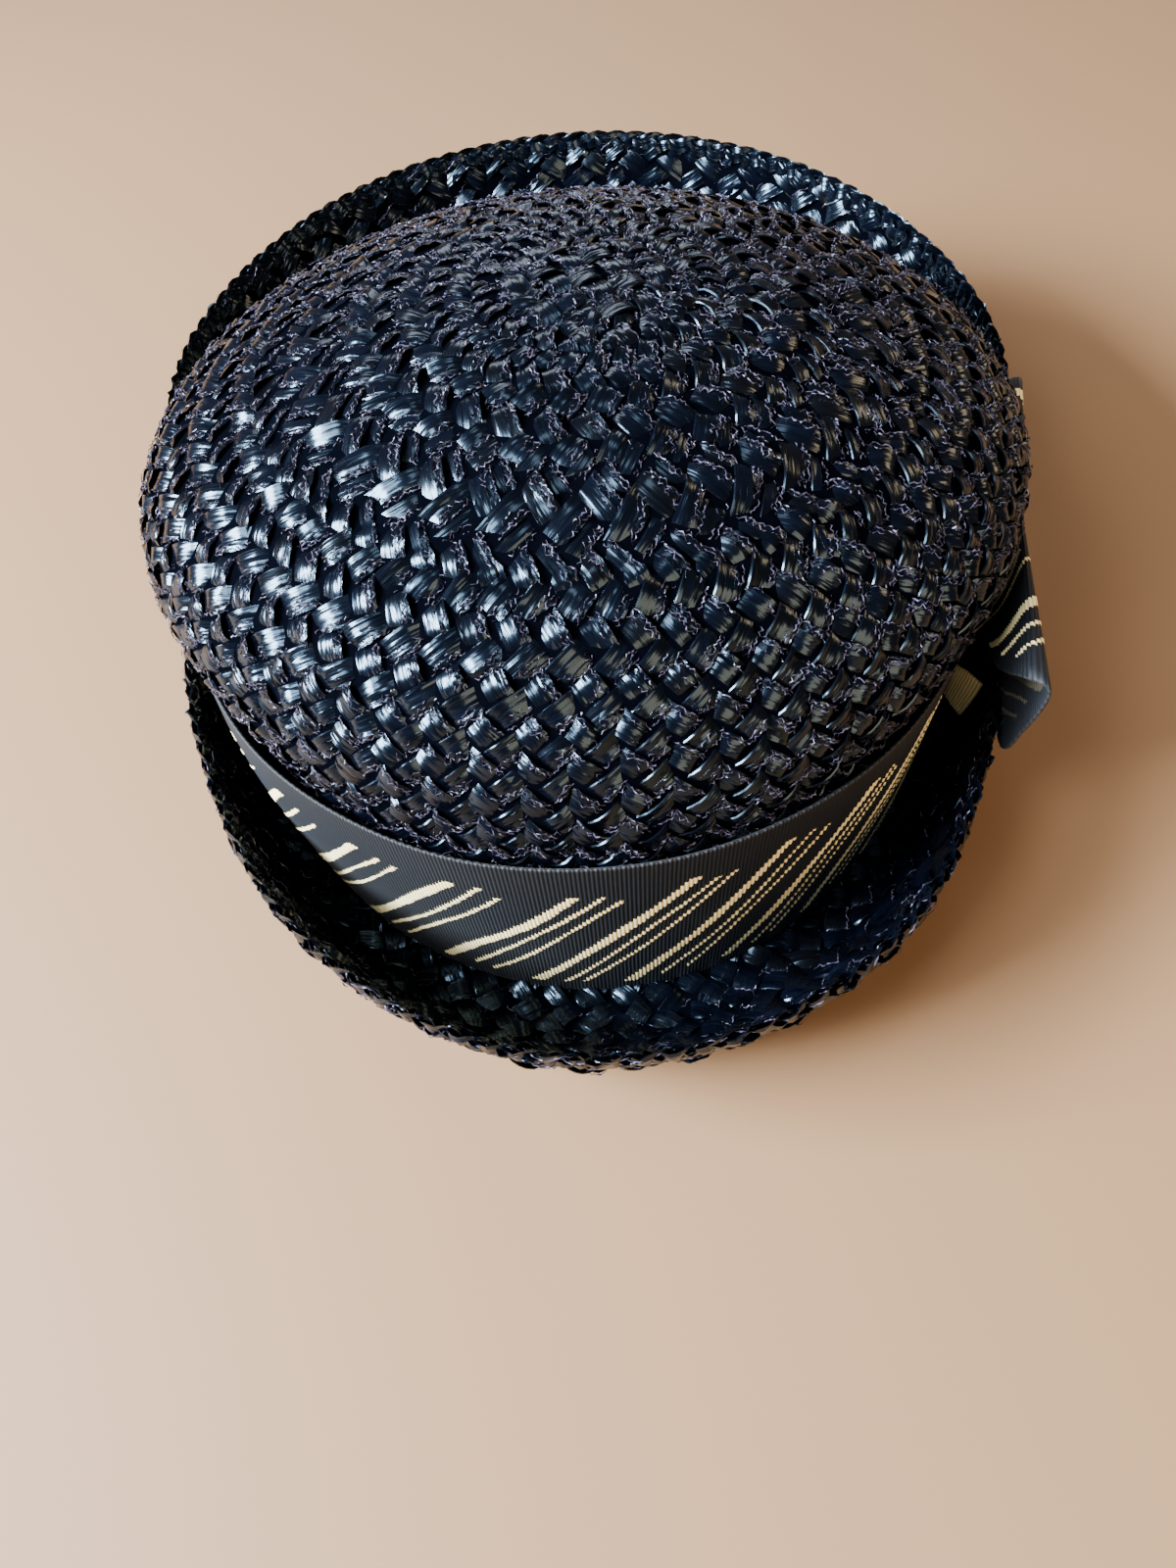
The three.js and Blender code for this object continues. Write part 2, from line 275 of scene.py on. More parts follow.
def brim_section(share, angle):
    """Distance out and height of the brim's upper face."""
    column = (angle / TURN * BRIM_ANGLES) % BRIM_ANGLES
    row = np.clip(share, 0, 1) * BRIM_SHARES
    first, low_row = column.astype(int) % BRIM_ANGLES, np.minimum(row.astype(int), BRIM_SHARES - 1)
    right, up = (column - np.floor(column))[..., None], (row - low_row)[..., None]
    other = (first + 1) % BRIM_ANGLES
    near = BRIM[first, low_row] * (1 - up) + BRIM[first, low_row + 1] * up
    far = BRIM[other, low_row] * (1 - up) + BRIM[other, low_row + 1] * up
    return near * (1 - right) + far * right


def headline_point(angle, out, height):
    """A point outside the headline, square to its oval."""
    normal = unit(np.stack([np.sin(angle) / HALF_WIDTH, -np.cos(angle) / HALF_LENGTH], -1))
    return np.stack([
        HALF_WIDTH * np.sin(angle) + normal[..., 0] * out,
        -HALF_LENGTH * np.cos(angle) + normal[..., 1] * out,
        height + 0 * angle,
    ], -1)


def brim_point(share, angle):
    section = brim_section(share, angle)
    return headline_point(angle, section[..., 0], section[..., 1])


def brim_surface(share, angle):
    """Points in the middle of the brim's wall, and the normals of its upper face."""
    share = np.clip(share, 0.01, 0.99)
    round_it = brim_point(share, angle + 0.01) - brim_point(share, angle - 0.01)
    along = brim_point(share + 0.01, angle) - brim_point(share - 0.01, angle)
    normal = unit(np.cross(round_it, along))
    return brim_point(share, angle) - normal * STRAW / 2, normal


# Meshes


def new_mesh(name, points, quads, material, attributes=None, smooth=True):
    """An object from points in the hat frame and four-sided faces; attributes are values by point."""
    mesh = bpy.data.meshes.new(name)
    quads = np.asarray(quads, np.int32)
    mesh.vertices.add(len(points))
    mesh.vertices.foreach_set("co", place(points).astype(np.float32).ravel())
    mesh.loops.add(quads.size)
    mesh.loops.foreach_set("vertex_index", quads.ravel())
    mesh.polygons.add(len(quads))
    mesh.polygons.foreach_set("loop_start", np.arange(0, quads.size, 4, dtype=np.int32))
    mesh.polygons.foreach_set("use_smooth", np.full(len(quads), smooth))
    for key, values in (attributes or {}).items():
        kind, field = ("FLOAT", "value") if values.ndim == 1 else ("FLOAT_VECTOR", "vector")
        layer = mesh.attributes.new(key, kind, "POINT")
        layer.data.foreach_set(field, values.astype(np.float32).ravel())
    mesh.update(calc_edges=True)
    mesh.validate()
    mesh.materials.append(material)
    piece = bpy.data.objects.new(name, mesh)
    bpy.context.scene.collection.objects.link(piece)
    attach(piece, "root")
    return piece


def grid_quads(rows, columns, wrap_rows=False, wrap_columns=False):
    """Faces over a grid of points numbered row by row."""
    row = np.arange(rows if wrap_rows else rows - 1)[:, None]
    column = np.arange(columns if wrap_columns else columns - 1)[None]
    next_row, next_column = (row + 1) % rows, (column + 1) % columns
    corners = (row * columns + column, row * columns + next_column,
               next_row * columns + next_column, next_row * columns + column)
    return np.stack([np.broadcast_to(c, corners[0].shape) for c in corners], -1).reshape(-1, 4)


def strand_frame(centre, normal, roll, closed):
    """Ways to the right of many strands and up from them; centre and normal are strands by stations by 3."""
    if closed:
        along = np.roll(centre, -1, 1) - np.roll(centre, 1, 1)
    else:
        along = np.gradient(centre, axis=1)
    side = unit(np.cross(unit(along), normal))
    up = np.cross(side, unit(along))
    cosine, sine = np.cos(roll)[..., None], np.sin(roll)[..., None]
    return side * cosine + up * sine, up * cosine - side * sine


def plate_part(centre, normal, pitch, roll, generator, closed=False):
    """The flat glossy plates of many strands as one mesh; pitch is the room that a strand has."""
    strands, stations = centre.shape[:2]
    side, up = strand_frame(centre, normal, roll, closed)
    across, rise, wander = PLATE_SECTION.T
    sideways = across * (PLATE_SHARE * pitch)[..., None]
    upward = rise + wander * generator.uniform(-1, 1, (strands, stations, len(across)))
    sideways[..., PLATE_CREASE] += CREASE_WANDER[0] * pitch * slow_noise((strands, stations), 5, generator)
    upward[..., PLATE_CREASE] += CREASE_WANDER[1] * slow_noise((strands, stations), 4, generator)
    points = centre[:, :, None] + side[:, :, None] * sideways[..., None] + up[:, :, None] * upward[..., None]
    count = len(across)
    strip = grid_quads(stations, count, wrap_rows=closed, wrap_columns=True)
    if not closed:
        caps = np.array(PLATE_CAP)
        strip = np.vstack([strip, caps[:, ::-1], caps + (stations - 1) * count])
    quads = (strip[None] + np.arange(strands)[:, None, None] * stations * count).reshape(-1, 4)
    steps = np.linalg.norm(np.diff(centre, axis=1), axis=-1)
    travelled = np.concatenate([np.zeros((strands, 1)), np.cumsum(steps, axis=1)], axis=1)
    tone = generator.uniform(0, 1, (strands, 1, 1))
    chart = np.stack(np.broadcast_arrays(sideways, travelled[..., None] + 400 * tone, tone), -1)
    return {"points": points.reshape(-1, 3), "quads": quads, "strand": chart.reshape(-1, 3)}


def fray_part(centre, normal, pitch, roll, shown, generator, threads=FRAY_THREADS, fineness=FRAY_STEP,
              loose=1.0, closed=False):
    """Broken, crinkled threads along one side of many strands, only where the strand is shown."""
    strands, stations = centre.shape[:2]
    if closed:
        centre, normal, pitch, roll, shown = (
            np.concatenate([values, values[:, :1]], axis=1) for values in (centre, normal, pitch, roll, shown)
        )
        stations += 1
    side, up = strand_frame(centre, normal, roll, False)
    step = np.linalg.norm(np.diff(centre, axis=1), axis=-1).mean()
    places = np.linspace(0, stations - 1, int(stations * step / fineness))
    first = np.minimum(places.astype(int), stations - 2)
    share = places - first

    def finer(values):
        weight = share[:, None] if values.ndim == 3 else share
        return values[:, first] * (1 - weight) + values[:, first + 1] * weight

    centre, side, up, pitch, shown = (finer(values) for values in (centre, side, up, pitch, shown))
    fine = len(places)
    shape = (strands, fine)
    turns = np.arange(FRAY_SIDES) / FRAY_SIDES * TURN
    tube = grid_quads(fine, FRAY_SIDES, wrap_columns=True).reshape(fine - 1, FRAY_SIDES, 4)
    numbers = np.arange(strands)[:, None, None, None] * fine * FRAY_SIDES
    points, quads, charts = [], [], []
    for across, stray_side, stray_up, missing in threads:
        there = (shown > 0) & (slow_noise(shape, 4, generator) > missing)
        sideways = across * pitch + loose * stray_side * generator.uniform(-1, 1, shape)
        upward = FRAY_RISE + loose * stray_up * generator.uniform(-1, 1, shape)
        inside = np.zeros(shape, bool)
        inside[:, 1:-1] = there[:, :-2] & there[:, 1:-1] & there[:, 2:]
        radius = FRAY_RADIUS[0] + (FRAY_RADIUS[1] - FRAY_RADIUS[0]) * generator.uniform(0, 1, shape) * inside
        turn = generator.uniform(0, TURN, shape)[..., None] + turns
        right = sideways[..., None] + radius[..., None] * np.cos(turn)
        above = upward[..., None] + radius[..., None] * np.sin(turn)
        thread = centre[:, :, None] + side[:, :, None] * right[..., None] + up[:, :, None] * above[..., None]
        whole = there[:, :-1] & there[:, 1:]
        tone = generator.uniform(0, 1, shape)[..., None] + 0 * turn
        used, renumbered = np.unique((tube[None] + numbers)[whole].reshape(-1, 4), return_inverse=True)
        quads.append(renumbered.reshape(-1, 4) + sum(len(part) for part in points))
        points.append(thread.reshape(-1, 3)[used])
        charts.append(np.stack([right, above, tone], -1).reshape(-1, 3)[used])
    return {"points": np.vstack(points), "quads": np.vstack(quads), "strand": np.vstack(charts)}


def strand_piece(name, parts, material, smooth=True):
    """Several meshes of strands as one piece; smooth ones are plates and keep the edges of their creases."""
    starts = np.cumsum([0] + [len(part["points"]) for part in parts])
    points, chart = (np.concatenate([part[key] for part in parts]) for key in ("points", "strand"))
    quads = np.concatenate([part["quads"] + start for part, start in zip(parts, starts)])
    piece = new_mesh(name, points, quads, material, {"strand": chart}, smooth)
    if smooth:
        ends = np.zeros(2 * len(piece.data.edges), np.int32)
        piece.data.edges.foreach_get("vertices", ends)
        first, second = ends.reshape(-1, 2).T % len(PLATE_SECTION)
        sharp = (first == second) & np.isin(first, PLATE_SHARP)
        piece.data.attributes.new("sharp_edge", "BOOLEAN", "EDGE").data.foreach_set("value", sharp)
    return piece


def over_under(phase):
    """Height of a strand at a phase of the weave: flat over a crossing, steep between crossings."""
    return np.tanh(1.5 * np.cos(phase)) / np.tanh(1.5)


# Materials


class Nodes:
    """A small helper that adds nodes to one material and links them."""

    def __init__(self, name):
        self.material = bpy.data.materials.new(name)
        self.material.use_nodes = True
        self.tree = self.material.node_tree
        self.shader = self.tree.nodes["Principled BSDF"]

    def add(self, kind, inputs=None, **settings):
        node = self.tree.nodes.new(kind)
        for key, value in settings.items():
            setattr(node, key, value)
        for key, value in (inputs or {}).items():
            self.feed(node.inputs[key], value)
        return node

    def feed(self, socket, value):
        if isinstance(value, bpy.types.NodeSocket):
            self.tree.links.new(value, socket)
        else:
            socket.default_value = value

    def math(self, operation, *values):
        node = self.add("ShaderNodeMath", operation=operation)
        for socket, value in zip(node.inputs, values):
            self.feed(socket, value)
        return node.outputs[0]

    def mix(self, share, first, second):
        node = self.add("ShaderNodeMix", data_type="RGBA")
        self.feed(node.inputs["Factor"], share)
        self.feed(node.inputs[6], first)
        self.feed(node.inputs[7], second)
        return node.outputs[2]

    def ramp(self, value, start, end, first=0.0, last=1.0):
        inputs = {"Value": value, "From Min": start, "From Max": end, "To Min": first, "To Max": last}
        return self.add("ShaderNodeMapRange", inputs).outputs["Result"]

    def attribute(self, name, output):
        return self.add("ShaderNodeAttribute", attribute_name=name).outputs[output]

    def scaled(self, vector, scale):
        node = self.add("ShaderNodeVectorMath", {0: vector, 1: scale}, operation="MULTIPLY")
        return node.outputs[0]

    def noise(self, vector, scale, detail=2.0, roughness=0.5):
        inputs = {"Vector": vector, "Scale": scale, "Detail": detail, "Roughness": roughness}
        return self.add("ShaderNodeTexNoise", inputs).outputs["Fac"]

    def bump(self, height, strength, distance, normal=None):
        inputs = {"Height": height, "Strength": strength, "Distance": distance}
        if normal is not None:
            inputs["Normal"] = normal
        return self.add("ShaderNodeBump", inputs).outputs["Normal"]

    def shade(self, **inputs):
        for key, value in inputs.items():
            self.feed(self.shader.inputs[key.replace("_", " ")], value)


def straw_material(name, plate, glossy):
    """Flat glossy straw, nearly black, with flat facets, soft creases and fine streaks along each strand."""
    n = Nodes(name)
    chart = n.attribute("strand", "Vector")
    tone = n.add("ShaderNodeSeparateXYZ", {0: chart}).outputs["Z"]
    streaks = n.noise(n.scaled(chart, (2.6, 0.12, 0.0)), 1.0, 2.0, 0.5)
    patches = n.noise(n.scaled(chart, (0.5, 0.10, 0.0)), 1.0, 2.0)
    spread = n.scaled(chart, (0.50, 0.10, 3.0))
    cells = n.add("ShaderNodeTexVoronoi", {"Vector": spread, "Scale": 1.0})
    within = n.add("ShaderNodeVectorMath", {0: spread, 1: cells.outputs["Position"]}, operation="SUBTRACT")
    tilt = n.add("ShaderNodeVectorMath", {0: cells.outputs["Color"], 1: (0.5, 0.5, 0.5)}, operation="SUBTRACT")
    facets = n.add("ShaderNodeVectorMath", {0: within.outputs[0], 1: tilt.outputs[0]}, operation="DOT_PRODUCT")
    dark = tuple(c * 0.5 for c in plate) + (1,)
    pale = tuple(c * 1.6 for c in plate) + (1,)
    warm = (plate[0] * 2.2, plate[0] * 1.6, plate[0] * 1.1, 1)
    colour = n.mix(n.ramp(patches, 0.3, 0.7), dark, pale)
    colour = n.mix(n.ramp(tone, 0.75, 1.0, 0.0, 0.5), colour, warm)
    rough = n.ramp(streaks, 0.3, 0.7, glossy - 0.04, glossy + 0.08)
    # The blue Specular Tint is painted light: it gives the straw's reflections the bluish colour of the window light
    n.shade(Base_Color=colour, Roughness=rough, IOR=1.45, Specular_Tint=(0.50, 0.75, 1.0, 1))
    wrinkles = n.noise(n.scaled(chart, (0.9, 0.07, 5.0)), 1.0, 1.5)
    normal = n.bump(facets.outputs["Value"], 0.8, 0.0011)
    normal = n.bump(wrinkles, 0.7, 0.0004, normal)
    n.feed(n.shader.inputs["Normal"], n.bump(streaks, 0.10, 0.00010, normal))
    return n.material


def fray_material():
    """Frayed straw threads: many dark, some crushed to a pale violet grey."""
    n = Nodes("straw_fray")
    tone = n.add("ShaderNodeSeparateXYZ", {0: n.attribute("strand", "Vector")}).outputs["Z"]
    colour = n.mix(n.ramp(tone, 0.20, 0.95), (0.003, 0.003, 0.007, 1), (0.078, 0.070, 0.112, 1))
    # The faint blue Specular Tint is painted light: it gives the threads' reflections the colour of the window light
    n.shade(Base_Color=colour, Roughness=0.34, IOR=1.36, Specular_Tint=(0.86, 0.88, 1.0, 1))
    return n.material


def core_material():
    """The straw seen through the gaps between strands."""
    n = Nodes("straw_core")
    spots = n.noise(n.add("ShaderNodeTexCoord").outputs["Object"], 260.0, 2.0)
    n.shade(Base_Color=n.mix(spots, (0.0004, 0.0005, 0.0011, 1), (0.0010, 0.0013, 0.0028, 1)), Roughness=0.9,
            Specular_IOR_Level=0.0)
    return n.material


straw = straw_material("straw", (0.0007, 0.0011, 0.0030), 0.18)
straw_edge = straw_material("straw_edge", (0.0008, 0.0012, 0.0030), 0.20)
straw_fray = fray_material()
straw_core = core_material()


# Crown


def crown_twist():
    """How far a strand has turned round the crown at each distance from the tip.

    In each zone the rows are stretched a little, so that a whole row ends on its last ring.
    """
    arc = np.linspace(0, CROWN[-1, 0], 4000)
    rows = np.interp(arc, CROWN_ROWS[:, 0], CROWN_ROWS[:, 1])
    turn = np.zeros_like(arc)
    ends = [ring for ring, _, _ in CROWN_ZONES[1:]] + [arc[-1]]
    done = 0.0
    for (start, strands, _), end in zip(CROWN_ZONES, ends):
        inside = (arc >= start) & (arc <= end)
        passed = np.concatenate([[0], np.cumsum(np.diff(arc[inside]) / rows[inside][1:])])
        if end < arc[-1]:
            passed *= max(1, round(passed[-1])) / passed[-1]
        turn[inside] = done + passed * TURN / strands
        done = turn[inside][-1]
    return arc, turn


TWIST_ARC, TWIST = crown_twist()


def fade(value, span):
    """1 below a span, 0 above it."""
    share = np.clip((value - span[0]) / (span[1] - span[0]), 0, 1)
    return 1 - share * share * (3 - 2 * share)


def weave_surface(arc, angle):
    """The crown's surface at a place in the weave, whose middle lies off the tip."""
    across = arc * np.sin(angle) + WEAVE_SHIFT[0] * fade(arc, SHIFT_FADES[0])
    ahead = -arc * np.cos(angle) + WEAVE_SHIFT[1] * fade(arc, SHIFT_FADES[1])
    return crown_surface(np.hypot(across, ahead), np.arctan2(across, -ahead))


def crown_strands(way, generator):
    """One of the crown's two families of strands; way is 1 or -1. Returns plates and frayed threads."""
    plates, frays = [], []
    most = CROWN_ZONES[-1][1]
    rings = [ring for ring, _, _ in CROWN_ZONES]
    for zone, (_, strands, begin) in enumerate(CROWN_ZONES):
        twin = zone == len(CROWN_ZONES) - 1
        newcomers = np.arange(strands) * (most // strands)
        if zone:
            newcomers = newcomers[1::2]
        fine = np.linspace(begin, CROWN_WEAVE_END, 3000)
        path = np.hypot(crown_radius(fine) * np.gradient(np.interp(fine, TWIST_ARC, TWIST)), np.gradient(fine))
        travelled = np.cumsum(path)
        arc = np.interp(np.arange(0, travelled[-1], PLATE_STEP), travelled, fine)
        turn = np.interp(arc, TWIST_ARC, TWIST)
        counts = np.array([count for _, count, _ in CROWN_ZONES])[
            np.clip(np.searchsorted(rings, arc, "right") - 1, min(zone, 1), None)
        ]
        lean = np.arctan(crown_radius(arc) * np.gradient(turn, arc))
        pitch = np.clip(TURN * crown_radius(arc) * np.cos(lean) / counts, 3.0, WIDEST_PITCH)
        paired = (1 - fade(arc, PAIR_FADE)) * (arc < rings[-1])
        shape = (len(newcomers), len(arc))
        angle = newcomers[:, None] / most * TURN + way * turn[None]
        angle = angle + 0.25 * slow_noise(shape, 6, generator) / np.maximum(crown_radius(arc), 12)
        point, normal = weave_surface(np.broadcast_to(arc, shape), angle)
        beside = -np.pi / 4 if twin else np.pi / 4
        height = way * over_under(counts * turn - way * beside * paired) * WEAVE_DEPTH
        if twin:
            height = height - PAIR_SINK * paired
        if zone:
            arrived = np.clip((arc - begin) / 4.0, 0, 1)
            height = -WEAVE_DEPTH + (height + WEAVE_DEPTH) * arrived
        height = np.broadcast_to(height, shape)
        sunk = CROWN_SINK[2] * (1 - fade(arc, CROWN_SINK[:2]))
        lift = height + 0.12 * slow_noise(shape, 4, generator) - sunk
        centre = point + normal * lift[..., None]
        pitch = pitch * (1 + 0.10 * slow_noise(shape, 6, generator))
        if twin:
            pitch = pitch * (1 - (1 - PAIR_WIDTH) * paired)
        roll = np.radians(10 * slow_noise(shape, 5, generator) - way * PLATE_LEAN)
        plates.append(plate_part(centre, normal, pitch, roll, generator))
        frays.append(fray_part(centre, normal, pitch, roll, height + 0.3, generator))
    return plates, frays


PATCH_PITCH = 6.4
PATCH_HALF = 14.0
PATCH_TURN = 0.5


def crown_patch(generator):
    """The small square of crossed strands that the weave starts from."""
    plates, frays = [], []
    steps = np.arange(-PATCH_HALF, PATCH_HALF + 0.1, PLATE_STEP)
    cosine, sine = np.cos(PATCH_TURN), np.sin(PATCH_TURN)
    for way in (0, 1):
        for k in range(-2, 3):
            across = k * PATCH_PITCH + 0.3 * slow_noise((len(steps),), 6, generator)
            x, y = (steps, across) if way == 0 else (across, steps)
            x, y = x * cosine - y * sine, x * sine + y * cosine
            point, normal = weave_surface(np.hypot(x, y), np.arctan2(x, -y))
            height = over_under(np.pi * (steps / PATCH_PITCH + k + way)) * WEAVE_DEPTH
            tuck = np.clip((np.abs(steps) - PATCH_HALF + 4) / 4, 0, 1)
            lift = 0.5 + height * (1 - tuck) - 1.3 * tuck
            centre = (point + normal * lift[:, None])[None]
            pitch = np.full((1, len(steps)), WIDEST_PITCH)
            roll = np.radians(10 * slow_noise((1, len(steps)), 5, generator))
            plates.append(plate_part(centre, normal[None], pitch, roll, generator))
            frays.append(fray_part(centre, normal[None], pitch, roll, (lift - 0.5)[None], generator))
    return plates, frays


def shell(name, surface, firsts, angles, thickness, material):
    """A thin closed shell along a surface, open round its two rims but with walls there."""
    first, angle = np.meshgrid(firsts, angles, indexing="ij")
    point, normal = surface(first, angle)
    outer = point + normal * thickness / 2
    inner = point - normal * thickness / 2
    rings = np.concatenate([outer, inner[::-1]])
    quads = grid_quads(len(rings), len(angles), wrap_rows=True, wrap_columns=True)
    return new_mesh(name, rings.reshape(-1, 3), quads, material)


shell_angles = np.arange(112) / 112 * TURN
crown_arcs = np.concatenate([np.linspace(0.8, 20, 8), np.linspace(22, CROWN[-1, 0] - 0.5, 50)])
crown_core = shell("crown_core", crown_surface, crown_arcs, shell_angles, 0.5, straw_core)
right_plates, right_frays = crown_strands(1, rng)
left_plates, left_frays = crown_strands(-1, rng)
patch_plates, patch_frays = crown_patch(rng)
strand_piece("crown_weave_right", right_plates, straw)
strand_piece("crown_weave_left", left_plates, straw)
strand_piece("crown_star", patch_plates, straw)
strand_piece("crown_fray_right", right_frays, straw_fray, smooth=False)
strand_piece("crown_fray_left", left_frays + patch_frays, straw_fray, smooth=False)
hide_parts("crown")


# Brim


BRIM_STRANDS = 72
BRIM_ROW = 8.6
BRIM_ROLL = 22.0
BRIM_FRAY = [(-0.40, 0.40, 0.25, -0.2)]


def brim_strands(way, generator):
    """One of the brim's two families of strands, from under the band to the rim.

    Returns plates, frayed threads on the upper face and frayed threads on the lower face.
    """
    plates, upper, lower = [], [], []
    start = np.arange(BRIM_STRANDS) / BRIM_STRANDS * TURN
    total = np.full(BRIM_STRANDS, 60.0)
    for _ in range(60):
        total = (total + brim_length(start + way * total / BRIM_ROW * TURN / BRIM_STRANDS)) / 2
    for k in range(BRIM_STRANDS):
        stations = int(total[k] * np.sqrt(2) / PLATE_STEP)
        length = np.linspace(0, total[k] - 2.0, stations)[None]
        shape = length.shape
        phase = length / BRIM_ROW
        angle = start[k] + way * phase * TURN / BRIM_STRANDS + 0.003 * slow_noise(shape, 6, generator)
        point, normal = brim_surface(length / brim_length(angle), angle)
        height = way * over_under(phase * TURN) * WEAVE_DEPTH
        centre = point + normal * (height + 0.12 * slow_noise(shape, 4, generator))[..., None]
        spacing = TURN * np.linalg.norm(point[..., :2], axis=-1) / BRIM_STRANDS
        pitch = np.clip(spacing * np.cos(np.arctan2(spacing, BRIM_ROW)), 3.5, WIDEST_PITCH)
        pitch = pitch * (1 + 0.10 * slow_noise(shape, 6, generator))
        roll = np.radians(BRIM_ROLL * slow_noise(shape, 5, generator) - way * PLATE_LEAN)
        plates.append(plate_part(centre, normal, pitch, roll, generator))
        upper.append(fray_part(centre, normal, pitch, roll, height + 0.3, generator, BRIM_FRAY, COARSE_FRAY))
        lower.append(fray_part(centre, -normal, pitch, -roll, 0.1 - height, generator, BRIM_FRAY, COARSE_FRAY))
    return plates, upper, lower


brim_shares = np.linspace(0.0, 0.985, 40)
brim_core = shell("brim_core", brim_surface, brim_shares, shell_angles, 0.5, straw_core)
right_plates, right_upper, right_lower = brim_strands(1, rng)
left_plates, left_upper, left_lower = brim_strands(-1, rng)
strand_piece("brim_weave_right", right_plates, straw)
strand_piece("brim_weave_left", left_plates, straw)
strand_piece("brim_fray_upper", right_upper + left_upper, straw_fray, smooth=False)
strand_piece("brim_fray_lower", right_lower + left_lower, straw_fray, smooth=False)
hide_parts("brim")


# Rim


RIM_FRAY = [(-0.40, 0.40, 0.25, 0.30)]
PLAIT_STRANDS = 3
PLAIT_BUMP = 5.8
PLAIT_SWAY = 1.45


def rim_plait(generator):
    """Three strands plaited along the rim. Returns plates and frayed threads."""
    angles = np.linspace(0, TURN, 1601)
    line = brim_point(np.ones_like(angles), angles)
    travelled = np.concatenate([[0], np.cumsum(np.linalg.norm(np.diff(line, axis=0), axis=-1))])
    turns = round(travelled[-1] / PLAIT_BUMP / PLAIT_STRANDS)
    stations = int(travelled[-1] / PLATE_STEP)
    share = np.arange(stations) / stations
    angle = np.interp(share * travelled[-1], travelled, angles)
    top = np.full_like(angle, 0.99)
    point, normal = brim_surface(top, angle)
    upward = unit(brim_point(top, angle) - brim_point(top - 0.03, angle))
    plates, frays = [], []
    for k in range(PLAIT_STRANDS):
        phase = share * turns * TURN + k * TURN / PLAIT_STRANDS
        sway = PLAIT_SWAY * np.sin(phase) - 1.6
        depth = 0.95 * np.sin(2 * phase)
        centre = (point + upward * sway[:, None] + normal * depth[:, None])[None]
        pitch = np.full((1, stations), 4.6)
        roll = np.radians(12 * np.cos(phase))[None]
        shown = np.ones((1, stations))
        plates.append(plate_part(centre, normal[None], pitch, roll, generator, closed=True))
        for out in (1, -1):
            frays.append(fray_part(centre, out * normal[None], pitch, out * roll, shown, generator,
                                   RIM_FRAY, COARSE_FRAY, loose=0.6, closed=True))
    return plates, frays


rim_plates, rim_frays = rim_plait(rng)
rim = strand_piece("rim_plait", rim_plates, straw_edge)
strand_piece("rim_fray", rim_frays, straw_fray, smooth=False)
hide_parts("brim_edge")


# Ribbon


BAND_WIDTH = 50.0
BAND_TOP = (90.5, 104.4)
RIBBON = 0.7
RIB = 0.82
RIB_DEPTH = 0.11
RIB_STEPS = 4
SELVEDGE = 0.9
SCALLOP = 0.16

# The band stands off the crown a little at the wearer's left, most of all half way up
BULGE = {"angle": np.radians(-58), "spread": np.radians(24), "out": 3.0, "height": 19.0}

# Cream strokes, a group of three that repeats: place along the ribbon, half width, lowest and highest point
STROKE_GROUPS = 28
STROKES = [(0.0, 1.32, 4.3, 41.5), (5.9, 0.54, 5.0, 40.0), (10.4, 0.50, 5.2, 39.5)]
STROKE_LEAN = 0.88
STROKE_START = -22.0 - 20 * STROKE_LEAN
STROKE_LIFT = 0.09
SEAM_ANGLE = np.radians(84)


def ribbon_material():
    """Ribbed charcoal ribbon with painted shade in the grooves between ribs and painted light on their crests;
    raised threads of it are cream.
    """
    n = Nodes("ribbon")
    parts = n.add("ShaderNodeSeparateXYZ", {0: n.attribute("ribbon", "Vector")}).outputs
    along, up, cream = parts["X"], parts["Y"], parts["Z"]
    # Painted shade: the ribbon's colour is darkened in the grooves between ribs and lightened on the rib crests, as
    # light would fall on them
    painted_rib_shade = n.math("ABSOLUTE", n.math("SINE", n.math("MULTIPLY", along, np.pi / RIB)))
    painted_rib_shade = n.math("POWER", painted_rib_shade, 1.5)
    chart = n.add("ShaderNodeCombineXYZ", {"X": along, "Y": up}).outputs[0]
    threads = n.noise(n.scaled(chart, (0.4, 7.0, 0.0)), 1.0, 2.0)
    worn = n.noise(n.scaled(chart, (0.09, 0.09, 0.0)), 1.0, 2.0)
    base = n.mix(painted_rib_shade, (0.0007, 0.0009, 0.0013, 1), (0.0076, 0.0095, 0.0130, 1))
    base = n.mix(n.ramp(threads, 0.35, 0.7, 0.0, 0.35), base, (0.014, 0.0170, 0.023, 1))
    base = n.mix(n.ramp(worn, 0.35, 0.75, 0.0, 0.4), base, (0.0045, 0.0055, 0.0075, 1))
    from_edge = n.math("MINIMUM", up, n.math("SUBTRACT", BAND_WIDTH, up))
    knots = n.math("ABSOLUTE", n.math("SINE", n.math("MULTIPLY", along, np.pi / (2 * RIB))))
    selvedge = n.math("MULTIPLY", n.ramp(from_edge, 0.0, SELVEDGE, 1.0, 0.0), knots)
    base = n.mix(selvedge, base, (0.022, 0.024, 0.028, 1))
    # The cream strokes get the same painted shade in the grooves between ribs and painted light on the crests
    stroke = n.mix(painted_rib_shade, (0.64, 0.48, 0.21, 1), (1.0, 0.88, 0.47, 1))
    n.shade(Base_Color=n.mix(cream, base, stroke), Roughness=0.6, Sheen_Weight=0.04, Sheen_Roughness=0.35,
            Specular_IOR_Level=0.25)
    n.feed(n.shader.inputs["Normal"], n.bump(threads, 0.2, 0.0001))
    return n.material


ribbon = ribbon_material()
ribbon_rng = np.random.default_rng(8)


def rib_wave(along):
    """How far a rib stands out at a place along the ribbon; the crests lie half way between whole ribs."""
    return -RIB_DEPTH * np.cos(along / RIB * TURN)


